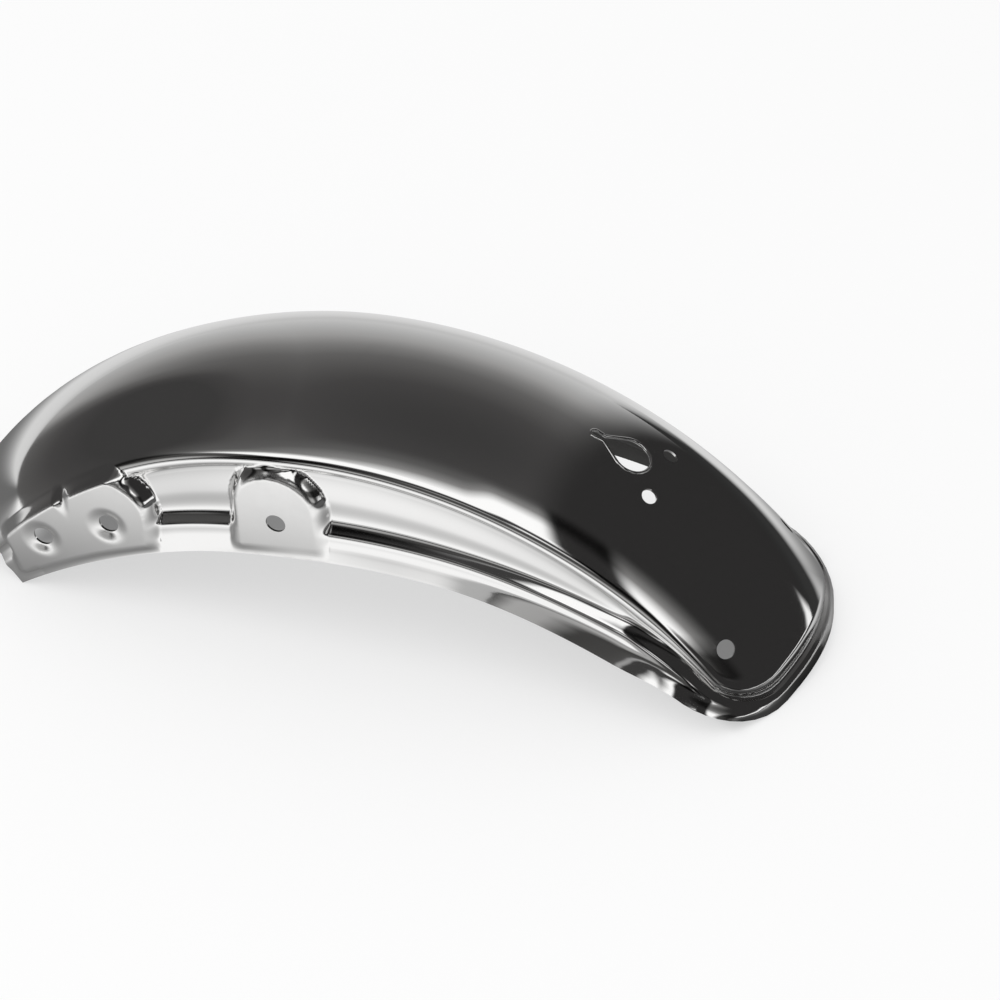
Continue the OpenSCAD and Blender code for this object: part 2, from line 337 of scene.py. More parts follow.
@dataclass(frozen=True)
class Pad:
    """A flat D-shaped pad pressed out of the side, in millimetres and degrees."""

    angle_deg: float
    lean_deg: float
    dimpled: bool
    width: float = 54.0
    height: float = 57.0
    hole_z: float = 21.0
    hole_d: float = 13.0
    wall: float = 6.5
    round: float = 2.0
    arc_x: float = 33.155
    arc_z: float = -215.804
    arc_r: float = 458.506
    fall_power: float = 1.8
    foot: Span = (3.2, 4.2)  # start under the bottom edge, and run
    cone: Trio = (3.0, 4.0, 11.0)  # depth, flat and run

    def local(self, x: Array, z: Array) -> tuple[Array, Array]:
        """Turns places about the wheel axis into places on the pad, bottom edge at zero.

        Args:
            x: distance behind the wheel axis.
            z: height over the wheel axis.

        Returns:
            Distance along the pad and height on it.
        """
        c, s = math.cos(math.radians(self.angle_deg)), math.sin(math.radians(self.angle_deg))
        dx, dz = x - self.arc_x, z - self.arc_z
        return dx * c + dz * s, dz * c - dx * s - self.arc_r

    def hole(self) -> tuple[float, float]:
        """Finds the middle of the hole.

        Returns:
            Its distance behind the wheel axis and height over it.
        """
        turn = math.radians(self.angle_deg)
        r = self.arc_r + self.hole_z
        return self.arc_x - r * math.sin(turn), self.arc_z + r * math.cos(turn)

    def share(self, x: Array, z: Array) -> Array:
        """Works out how far each place is pushed out to the flat face.

        Args:
            x: distance behind the wheel axis.
            z: height over the wheel axis.

        Returns:
            The share of the way, 0 to 1.
        """
        u, w = self.local(x, z)
        c, s = math.cos(math.radians(self.lean_deg)), math.sin(math.radians(self.lean_deg))
        rise = self.height - self.width / 2.0 - self.hole_z
        pu, pw = u - rise * s, w - self.hole_z - rise * c
        a, b = pu * c - pw * s, pu * s + pw * c
        off = np.where(b > 0.0, np.hypot(a, b), np.abs(a)) - self.width / 2.0
        fall = np.clip((off + self.round) / (self.wall + self.round), 0.0, 1.0)
        below, run = self.foot
        return (1.0 - fall**self.fall_power) * ease((w + below) / run)

    def dimple(self, x: Array, z: Array) -> Array:
        """Works out the depth of the shallow cone round the hole.

        Args:
            x: distance behind the wheel axis.
            z: height over the wheel axis.

        Returns:
            The depth, 0 away from the hole or on a plain pad.
        """
        u, w = self.local(x, z)
        if not self.dimpled:
            return 0.0 * u
        depth, flat, run = self.cone
        return depth * ease(1.0 - (np.hypot(u, w - self.hole_z) - flat) / run)


@dataclass(frozen=True)
class Bore:
    """A round hole and its twin across the ridge, in millimetres and degrees.

    A hole that is square_on is cut at right angles to the sheet, another towards the wheel axis.
    """

    angle_deg: float
    out: float
    diameter: float
    cutter: float
    square_on: bool


@dataclass(frozen=True)
class Keyhole:
    """The teardrop opening of the crown, in millimetres and degrees."""

    angle_deg: float = 25.0
    wide: float = 25.0
    slim: float = 5.0
    length: float = 26.0
    neck: float = 8.0
    cut_from: float = 12.0
    cutter: float = 24.0
    round_points: int = 49
    tip_points: int = 17

    def line(self, grow: float) -> list[tuple[float, float]]:
        """Draws the teardrop flat, round end at the origin and tip to the front.

        Args:
            grow: how far outside the opening the line runs, in millimetres.

        Returns:
            Distance to the rear and across of each point.
        """
        big, small, knee = self.wide / 2.0, self.slim / 2.0, self.length - self.neck
        lean = math.acos((big - small) / knee)
        big, small = big + grow, small + grow
        turns = np.linspace(lean - math.pi, math.pi - lean, self.round_points)
        line = [(big * math.cos(a), big * math.sin(a)) for a in turns]
        line += [(-knee - small * math.cos(lean), small * math.sin(lean))]
        tip = np.linspace(math.pi / 2.0, 1.5 * math.pi, self.tip_points)
        line += [(-self.length + small * math.cos(a), small * math.sin(a)) for a in tip]
        line += [(-knee - small * math.cos(lean), -small * math.sin(lean))]
        return line


@dataclass
class Mudguard:
    """The one pressed sheet, from its crown out to its lip."""

    crown: Crown = field(default_factory=Crown)
    skirt: Skirt = field(default_factory=Skirt)
    stance: Stance = field(default_factory=Stance)
    pads: tuple[Pad, ...] = (Pad(11.1, 7.1, False), Pad(25.5, 21.5, True), Pad(31.7, 8.0, True))
    keyhole: Keyhole = field(default_factory=Keyhole)
    bores: tuple[Bore, ...] = (
        Bore(28.6, 20.0, 10.0, 30.0, False),
        Bore(45.0, 60.7, 12.0, 16.0, True),
    )
    pad_face: float = 79.5
    pad_fade: float = 7.0
    sheet: float = 1.5
    across: int = 32
    nose_step: float = 2.0
    fine_step: float = 1.3
    coarse_step: float = 6.0
    fine_span: Span = (-332.0, -28.0)
    tail_turn: Span = (220.0, 55.0)  # start and run
    tail_lead: float = 0.25
    tail_power: float = 0.9
    soft_share: Span = (0.01, 0.985)
    soft_reach: float = 4.5
    soft_passes: int = 5
    smooth_deg: float = 66.0
    bead: float = 2.1
    bead_out: float = 0.45
    bead_sunk: float = 0.25
    bore_sunk: float = 5.0
    pad_cutter: float = 200.0

    def columns(self) -> Array:
        """Spaces the crown's columns, close together at the pads.

        Returns:
            Shares of the crown's length at which they stand.
        """
        c = self.crown
        nose = np.arange(c.front_s, self.fine_span[0], self.nose_step)
        fine = np.concatenate([nose, np.arange(*self.fine_span, self.fine_step)])
        last = c.tail_s - c.corner_r
        count = int((last - fine[-1]) / self.coarse_step) + 1
        s = np.concatenate([fine, np.linspace(fine[-1], last, count)[1:]])
        return (s - s[0]) / (s[-1] - s[0])

    def width_at(self, i: Array) -> Array:
        """Width at which a row of the crown stands, close together at the shoulders."""
        return self.crown.half * np.sin(np.radians(-90.0 + 180.0 * i / self.across))

    def crown_sheet(self) -> bpy.types.Object:
        """Bends a flat grid into the crown and numbers the walk round its edge.

        Returns:
            The crown as an open sheet.
        """
        c, shares = self.crown, self.columns()
        along = len(shares) - 1
        deselect()
        bpy.ops.mesh.primitive_grid_add(x_subdivisions=along, y_subdivisions=self.across, size=1.0)
        obj = bpy.context.object
        obj.name = obj.data.name = "chrome_mudguard"
        flat = np.empty(len(obj.data.vertices) * 3, dtype=np.float32)
        obj.data.vertices.foreach_get("co", flat)
        flat = flat.reshape(-1, 3)
        j = np.rint((flat[:, 0] + 0.5) * along).astype(int)
        i = np.rint((flat[:, 1] + 0.5) * self.across).astype(int)
        y = self.width_at(i)
        s = c.front_s + (c.end(y) - c.front_s) * shares[j]
        set_place(obj, c.polar(s, y * c.narrow(s), c.ridge_r - c.drop(y), self.stance))
        walk = np.full(len(flat), -1, dtype=np.int32)
        walk[i == 0] = j[i == 0]
        walk[j == along] = along + i[j == along]
        far = i == self.across
        walk[far] = 2 * along + self.across - j[far]
        layer = obj.data.attributes.new("walk", "INT", "POINT")
        layer.data.foreach_set("value", walk)
        return obj

    def stations(self) -> dict[str, Array]:
        """Where each step of the walk stands and which way it faces.

        Returns:
            Arc length, width, outward sine and cosine, and share of the tail's section.
        """
        c, shares = self.crown, self.columns()
        along = len(shares) - 1
        walk = np.arange(2 * along + self.across + 1)
        i = np.clip(walk - along, 0, self.across)
        back = 2 * along + self.across - walk
        j = np.where(walk <= along, walk, np.where(walk <= along + self.across, along, back))
        y = self.width_at(i)
        s = c.front_s + (c.end(y) - c.front_s) * shares[j]
        sine = np.sign(walk - (along + self.across / 2.0)) * np.where(j < along, 1.0, c.corner(y))
        cosine = np.where(j < along, 0.0, np.sqrt(1.0 - sine**2))
        start, run = self.tail_turn
        lead = self.tail_lead * ease((s - start) / run)
        tail = lead + (1.0 - self.tail_lead) * cosine**self.tail_power
        return {"s": s, "y": y, "sin": sine, "cos": cosine, "tail": tail}

    def skirt_places(self) -> Array:
        """Works out every place below the crown's edge.

        Returns:
            Places in metres, by walk and by row.
        """
        c, st = self.crown, self.stations()
        slope = np.abs(st["y"]) * np.abs(st["sin"]) / np.sqrt(c.section_r**2 - st["y"] ** 2)
        tail = st["tail"][:, None, None]
        side, end = self.skirt.side_knots(st["s"]), self.skirt.tail_knots()[None]
        rows = self.skirt.smooth_rows(side * (1.0 - tail) + end * tail, slope)
        reach, deep = rows[..., 0], rows[..., 1]
        s, y = st["s"][:, None] + 0.0 * reach, st["y"][:, None] + 0.0 * reach
        edge = y * c.narrow(s)
        radius = c.ridge_r - c.drop(y) - deep
        x, z = radius * np.sin(s / c.ridge_r), radius * np.cos(s / c.ridge_r)
        target = self.pad_face - np.abs(edge)
        flat, press = np.ones_like(reach), np.zeros_like(reach)
        for pad in self.pads:
            flat = flat * (1.0 - pad.share(x, z))
            press = np.maximum(press, pad.dimple(x, z))
        share = (1.0 - flat) * ease(deep / self.pad_fade) * (st["cos"][:, None] == 0.0)
        reach = reach + (target - reach) * share - press * (share > 0.5)
        turn = s + reach * st["cos"][:, None]
        return c.polar(turn, edge + reach * st["sin"][:, None], radius, self.stance)

    def draw_skirt(self, obj: bpy.types.Object) -> None:
        """Extrudes the crown's edge row by row down the shoulder, panel and lip.

        Args:
            obj: the crown sheet, which grows its sides.
        """
        places = self.skirt_places()
        pick(obj)
        bpy.ops.object.mode_set(mode="EDIT")
        bpy.ops.mesh.select_mode(type="EDGE")
        bpy.ops.mesh.select_all(action="DESELECT")
        mesh = bmesh.from_edit_mesh(obj.data)
        layer = mesh.verts.layers.int["walk"]
        last = len(places) - 1
        for e in mesh.edges:
            a, b = (v[layer] for v in e.verts)
            e.select = e.is_boundary and a >= 0 and b >= 0 and abs(a - b) == 1
        mesh.select_flush_mode()
        bmesh.update_edit_mesh(obj.data)
        for row in range(places.shape[1]):
            bpy.ops.mesh.extrude_edges_move(TRANSFORM_OT_translate={"value": (0.0, 0.0, 0.0)})
            mesh = bmesh.from_edit_mesh(obj.data)
            layer = mesh.verts.layers.int["walk"]
            for v in mesh.verts:
                if v.select:
                    v.co = places[min(v[layer], last), row]
            bmesh.update_edit_mesh(obj.data)
        self.soften(obj)
        face_outwards()
        top = max(obj.data.polygons, key=lambda p: p.center.z)
        if top.normal.z < 0.0:
            bpy.ops.object.mode_set(mode="EDIT")
            bpy.ops.mesh.flip_normals()
            bpy.ops.object.mode_set(mode="OBJECT")

    def soften(self, obj: bpy.types.Object) -> None:
        """Evens out the pressed walls round the pads, in edit mode.

        Args:
            obj: the open sheet.
        """
        mesh = bmesh.from_edit_mesh(obj.data)
        st = self.stance
        c, s = math.cos(math.radians(st.tilt_deg)), math.sin(math.radians(st.tilt_deg))
        hub = np.array([st.axis_x, 0.0, st.axis_z])
        spots = np.array([v.co[:] for v in mesh.verts]) / MM - hub
        x, z = spots[:, 0] * c - spots[:, 2] * s, spots[:, 0] * s + spots[:, 2] * c
        share = np.max([pad.share(x, z) for pad in self.pads], axis=0)
        low, high = self.soft_share
        outer = np.abs(spots[:, 1]) > self.crown.half - self.soft_reach
        wall = (share > low) & (share < high) & outer
        bpy.ops.mesh.select_mode(type="VERT")
        bpy.ops.mesh.select_all(action="DESELECT")
        for v, chosen in zip(mesh.verts, wall):
            v.select = bool(chosen)
        mesh.select_flush_mode()
        bmesh.update_edit_mesh(obj.data)
        bpy.ops.mesh.vertices_smooth(factor=0.5, repeat=self.soft_passes)

    def thicken(self, obj: bpy.types.Object) -> None:
        """Gives the sheet its thickness, inwards from the outside.

        Args:
            obj: the open sheet.
        """
        pick(obj)
        wall = obj.modifiers.new("sheet", "SOLIDIFY")
        wall.thickness = self.sheet * MM
        wall.offset = -1.0
        wall.use_even_offset = True
        wall.use_quality_normals = True
        wall.material_offset = 1
        bpy.ops.object.modifier_apply(modifier=wall.name)

    def rod(self, centre: Vector, axis: Vector, diameter: float, length: float) -> bpy.types.Object:
        """Adds a round cutter.

        Args:
            centre: middle of the cutter in metres.
            axis: direction of its length.
            diameter: in millimetres.
            length: in millimetres.

        Returns:
            The cutter.
        """
        bpy.ops.mesh.primitive_cylinder_add(
            vertices=64,
            radius=diameter / 2.0 * MM,
            depth=length * MM,
            location=centre,
            rotation=axis.to_track_quat("Z", "Y").to_euler(),
        )
        return bpy.context.object

    def on_crown(self, point: tuple[float, float], radius: float) -> Vector:
        """Stands a point of the flat teardrop over the wheel.

        Args:
            point: distance to the rear and across, in millimetres.
            radius: height over the wheel axis, in millimetres.

        Returns:
            The place in metres.
        """
        up = self.stance.outward(self.keyhole.angle_deg)
        along = Vector((up.z, 0.0, -up.x))
        rear, side = point
        place = self.stance.hub + up * (radius * MM) + along * (rear * MM)
        return place + Vector((0.0, side * MM, 0.0))

    def teardrop(self) -> bpy.types.Object:
        """Adds the cutter of the teardrop opening.

        Returns:
            The cutter.
        """
        line, base = self.keyhole.line(0.0), self.crown.ridge_r - self.keyhole.cut_from
        bpy.ops.mesh.primitive_circle_add(vertices=len(line), radius=1.0, fill_type="NGON")
        obj = bpy.context.object
        set_place(obj, np.array([tuple(self.on_crown(point, base)) for point in line]))
        rise = self.stance.outward(self.keyhole.angle_deg) * (self.keyhole.cutter * MM)
        bpy.ops.object.mode_set(mode="EDIT")
        bpy.ops.mesh.select_all(action="SELECT")
        bpy.ops.mesh.extrude_region_move(TRANSFORM_OT_translate={"value": rise})
        face_outwards()
        return obj

    def rolled_rim(self) -> bpy.types.Object:
        """Adds the thin rolled bead round the teardrop, half sunk in the sheet.

        Returns:
            The bead as a mesh.
        """
        c = self.crown
        deselect()
        bpy.ops.curve.primitive_bezier_circle_add(radius=1.0)
        obj = bpy.context.object
        line = self.keyhole.line(self.bead_out)
        obj.data.splines.clear()
        spline = obj.data.splines.new("POLY")
        spline.points.add(len(line) - 1)
        for point, (rear, side) in zip(spline.points, line):
            radius = c.ridge_r - float(c.drop(np.array(side))) - self.bead_sunk
            point.co = (*self.on_crown((rear, side), math.sqrt(radius**2 - rear * rear)), 1.0)
        spline.use_cyclic_u = True
        obj.data.dimensions = "3D"
        obj.data.bevel_depth = self.bead / 2.0 * MM
        obj.data.bevel_resolution = 3
        pick(obj)
        bpy.ops.object.convert(target="MESH")
        return bpy.context.object

    def cutters(self) -> list[bpy.types.Object]:
        """Adds a cutter for every opening of the sheet.

        Returns:
            The cutters.
        """
        c, st = self.crown, self.stance
        made = [self.teardrop()]
        for pad in self.pads:
            x, z = pad.hole()
            spot = Vector(st.to_frame(np.array(x), np.array(0.0), np.array(z)))
            made.append(self.rod(spot, Vector((0.0, 1.0, 0.0)), pad.hole_d, self.pad_cutter))
        for hole in self.bores:
            up, tip, sunk = st.outward(hole.angle_deg), 0.0, self.bore_sunk
            if hole.square_on:
                tip, sunk = math.asin(hole.out / c.section_r), float(c.drop(np.array(hole.out)))
            for flank in Flank:
                out = Vector((0.0, flank.value * hole.out * MM, 0.0))
                axis = up * math.cos(tip) + Vector((0.0, flank.value * math.sin(tip), 0.0))
                spot = st.hub + up * ((c.ridge_r - sunk) * MM) + out
                made.append(self.rod(spot, axis, hole.diameter, hole.cutter))
        return made

    def pierce(self, obj: bpy.types.Object) -> None:
        """Cuts every hole through the sheet.

        Args:
            obj: the thick sheet.
        """
        tools = self.cutters()
        pick(tools[0])
        for tool in tools:
            tool.select_set(True)
        bpy.ops.object.join()
        tool = bpy.context.object
        pick(obj)
        cut = obj.modifiers.new("holes", "BOOLEAN")
        cut.operation = "DIFFERENCE"
        cut.solver = "EXACT"
        cut.object = tool
        bpy.ops.object.modifier_apply(modifier=cut.name)
        pick(tool)
        bpy.ops.object.delete()

    def trim_to_box(self, obj: bpy.types.Object) -> None:
        """Keeps the sheet inside the outer sizes of the solid part.

        Args:
            obj: the finished sheet.
        """
        points = np.empty(len(obj.data.vertices) * 3, dtype=np.float32)
        obj.data.vertices.foreach_get("co", points)
        low, high = (np.array(corner) for corner in CAD_BOUNDS)
        set_place(obj, np.clip(points.reshape(-1, 3), low + CLEARANCE, high - CLEARANCE))

    def build(self, finishes: Sequence[bpy.types.Material]) -> bpy.types.Object:
        """Makes the whole guard.

        Args:
            finishes: the outside's material, then the underside's.

        Returns:
            The finished sheet.
        """
        obj = self.crown_sheet()
        self.draw_skirt(obj)
        for finish in finishes:
            obj.data.materials.append(finish)
        self.thicken(obj)
        self.pierce(obj)
        rim = self.rolled_rim()
        rim.data.materials.append(finishes[0])
        pick(rim)
        obj.select_set(True)
        bpy.context.view_layer.objects.active = obj
        bpy.ops.object.join()
        pick(obj)
        bpy.ops.object.shade_smooth_by_angle(angle=math.radians(self.smooth_deg))
        obj.data.attributes.remove(obj.data.attributes["walk"])
        self.trim_to_box(obj)
        return obj


class Wire:
    """A node socket or number that Python's operators work on."""

    def __init__(self, tree: bpy.types.NodeTree, value: Any) -> None:
        """Holds a socket or a number of one node tree."""
        self.tree, self.value = tree, value

    def _maths(self, operation: str, a: Any, b: Any) -> "Wire":
        """Adds one Math node.

        Args:
            operation: the node's operation.
            a: first input.
            b: second input.

        Returns:
            The node's output.
        """
        node = self.tree.nodes.new("ShaderNodeMath")
        node.operation = operation
        for place, item in enumerate((a, b)):
            item = item.value if isinstance(item, Wire) else item
            if isinstance(item, bpy.types.NodeSocket):
                self.tree.links.new(item, node.inputs[place])
            else:
                node.inputs[place].default_value = item
        return Wire(self.tree, node.outputs[0])

    def __add__(self, other: Any) -> "Wire":
        """Sum."""
        return self._maths("ADD", self, other)

    def __radd__(self, other: Any) -> "Wire":
        """Sum with the number first."""
        return self._maths("ADD", other, self)

    def __sub__(self, other: Any) -> "Wire":
        """Difference."""
        return self._maths("SUBTRACT", self, other)

    def __rsub__(self, other: Any) -> "Wire":
        """Difference with the number first."""
        return self._maths("SUBTRACT", other, self)

    def __mul__(self, other: Any) -> "Wire":
        """Product."""
        return self._maths("MULTIPLY", self, other)

    def __rmul__(self, other: Any) -> "Wire":
        """Product with the number first."""
        return self._maths("MULTIPLY", other, self)

    def top(self, other: Any) -> "Wire":
        """The larger of two."""
        return self._maths("MAXIMUM", self, other)

    def low(self, other: Any) -> "Wire":
        """The smaller of two."""
        return self._maths("MINIMUM", self, other)


class Shader:
    """A material's or world's node tree, filled node by node."""

    def __init__(self, owner: Any) -> None:
        """Empties the owner's tree.

        Args:
            owner: a material or a world.
        """
        owner.use_nodes = True
        self.tree = owner.node_tree
        self.tree.nodes.clear()

    def add(
        self,
        kind: str,
        settings: dict[str, Any] | None = None,
        inputs: dict[Any, Any] | None = None,
    ) -> bpy.types.Node:
        """Adds a node.

        Args:
            kind: the node's type.
            settings: attributes set first; "stops" fills a colour ramp.
            inputs: values or links by socket name or number.

        Returns:
            The node.
        """
        node = self.tree.nodes.new(kind)
        for key, value in (settings or {}).items():
            if key == "stops":
                ramp = node.color_ramp
                while len(ramp.elements) < len(value):
                    ramp.elements.new(0.5)
                for element, (place, colour) in zip(ramp.elements, value):
                    element.position, element.color = place, (*colour, 1.0)
            else:
                setattr(node, key, value)
        for key, value in (inputs or {}).items():
            value = value.value if isinstance(value, Wire) else value
            if isinstance(value, bpy.types.NodeSocket):
                self.tree.links.new(value, node.inputs[key])
            else:
                node.inputs[key].default_value = value
        return node

    def ease(self, value: Wire, low: float, high: float) -> Wire:
        """Adds a smooth step from 0 at one value to 1 at another.

        Args:
            value: what is measured.
            low: where the step starts.
            high: where it ends.

        Returns:
            The step.
        """
        limits = {0: value, 1: low, 2: high}
        node = self.add("ShaderNodeMapRange", {"interpolation_type": "SMOOTHSTEP"}, limits)
        return Wire(self.tree, node.outputs[0])

    def noise(self, where: Any, scale: float, detail: float, roughness: float) -> Wire:
        """Adds a cloudy pattern.

        Args:
            where: the place that it follows.
            scale: how many clouds there are to a metre, about.
            detail: how many finer layers lie in each.
            roughness: how strong the finer layers are.

        Returns:
            The pattern, 0 to 1.
        """
        inputs = {"Vector": where, "Scale": scale, "Detail": detail, "Roughness": roughness}
        return Wire(self.tree, self.add("ShaderNodeTexNoise", {}, inputs).outputs["Fac"])

    @staticmethod
    def tone(colour: Any) -> Any:
        """Gives a plain colour its alpha and leaves a socket as it is."""
        return colour if isinstance(colour, bpy.types.NodeSocket) else (*colour, 1.0)

    def mix(self, share: Any, first: Any, second: Any, way: str = "MIX") -> bpy.types.NodeSocket:
        """Adds a mix of two colours.

        Args:
            share: how much of the second colour there is.
            first: a colour or a socket.
            second: a colour or a socket.
            way: the node's way of mixing.

        Returns:
            The mixed colour.
        """
        inputs = {0: share, 6: self.tone(first), 7: self.tone(second)}
        settings = {"data_type": "RGBA", "blend_type": way}
        return self.add("ShaderNodeMix", settings, inputs).outputs[2]

    def blend(self, share: Any, first: Any, second: Any) -> bpy.types.NodeSocket:
        """Adds a mix of two shaders.

        Args:
            share: how much of the second shader there is.
            first: the first shader.
            second: the second shader.

        Returns:
            The mixed shader.
        """
        return self.add("ShaderNodeMixShader", {}, {0: share, 1: first, 2: second}).outputs[0]

    def light(self, kind: str, colour: Any, strength: float) -> bpy.types.NodeSocket:
        """Adds an Emission or Background node.

        Args:
            kind: the node's type.
            colour: a colour or a socket.
            strength: how bright it is.

        Returns:
            Its shader.
        """
        return self.add(kind, {}, {"Color": self.tone(colour), "Strength": strength}).outputs[0]

    def ramp(self, stops: Stops, place: Wire) -> bpy.types.NodeSocket:
        """Adds a colour ramp and returns its colour."""
        return self.add("ShaderNodeValToRGB", {"stops": stops}, {"Fac": place}).outputs[0]

    def split(self, where: Any) -> tuple[Wire, Wire, Wire]:
        """Splits a place into distance to the rear, across and up."""
        parts = self.add("ShaderNodeSeparateXYZ", {}, {0: where})
        return tuple(Wire(self.tree, parts.outputs[name]) for name in ("X", "Y", "Z"))

    def plate(self, inputs: dict[Any, Any]) -> None:
        """Ends the tree of a metal with a Principled node and the output."""
        metal = self.add("ShaderNodeBsdfPrincipled", {}, inputs)
        self.add("ShaderNodeOutputMaterial", {}, {"Surface": metal.outputs[0]})


@dataclass(frozen=True)
class ChromeFinish:
    """Polished chrome plate with faint haze and the slight waves of pressed steel.

    A noise has its scale, detail and roughness, and a pair of numbers is where a
    patch starts and where it is full, in metres.
    """

    name: str = "chrome_plate"
    bright: Colour = (0.86, 0.856, 0.85)
    dull: Colour = (0.79, 0.786, 0.778)
    cloud: Trio = (9.0, 4.0, 0.55)
    grain: Trio = (160.0, 3.0, 0.6)
    waves: Trio = (22.0, 1.0, 0.4)
    blotches: Trio = (70.0, 6.0, 0.7)
    smooth: float = 0.035
    cloud_haze: float = 0.03
    grain_haze: float = 0.0125
    pad_haze: float = 0.28
    lip_haze: float = 0.4
    cloud_tint: float = 0.6
    pad_tint: float = 0.55
    wave: float = 0.25
    wave_h: float = 0.0004
    pad_x: Span = (-0.01, -0.02)
    pad_y: Span = (0.0765, 0.0785)
    lip_x: Span = (0.256, 0.262)
    lip_y: Span = (-0.012, 0.002)
    lip_z: Span = (0.021, 0.017)

    def make(self) -> bpy.types.Material:
        """Builds the material.

        Returns:
            The chrome material.
        """
        material = bpy.data.materials.new(self.name)
        sh = Shader(material)
        where = sh.add("ShaderNodeTexCoord").outputs["Object"]
        x, y, z = sh.split(where)
        cloud = sh.noise(where, *self.cloud)
        grain = sh.noise(where, *self.grain)
        pad = sh.ease(y.top(0.0 - y), *self.pad_y) * sh.ease(x, *self.pad_x)
        pad = pad * sh.noise(where, *self.blotches)
        lip = sh.ease(x, *self.lip_x) * sh.ease(y, *self.lip_y) * sh.ease(z, *self.lip_z)
        rough = self.smooth + cloud * self.cloud_haze + grain * self.grain_haze
        rough = rough + pad * self.pad_haze + lip * self.lip_haze
        tint = sh.mix(cloud * self.cloud_tint + pad * self.pad_tint, self.bright, self.dull)
        height = sh.noise(where, *self.waves)
        bump = sh.add(
            "ShaderNodeBump", {}, {"Strength": self.wave, "Distance": self.wave_h, "Height": height}
        )
        normal = bump.outputs[0]
        sh.plate({"Base Color": tint, "Metallic": 1.0, "Roughness": rough, "Normal": normal})
        return material


@dataclass(frozen=True)
class UndersideFinish:
    """Thin, dull plating on the side that faces the tyre."""

    name: str = "dull_underside"
    colour: Colour = (0.16, 0.157, 0.154)
    worn: Colour = (0.24, 0.236, 0.23)
    patches: Trio = (14.0, 5.0, 0.6)
    metal: float = 0.85
    smooth: float = 0.38
    haze: float = 0.2

    def make(self) -> bpy.types.Material:
        """Builds the material.

        Returns:
            The dull material.
        """
        material = bpy.data.materials.new(self.name)
        sh = Shader(material)
        patch = sh.noise(sh.add("ShaderNodeTexCoord").outputs["Object"], *self.patches)
        tint = sh.mix(patch, self.colour, self.worn)
        rough = self.smooth + patch * self.haze
        sh.plate({"Base Color": tint, "Metallic": self.metal, "Roughness": rough})
        return material


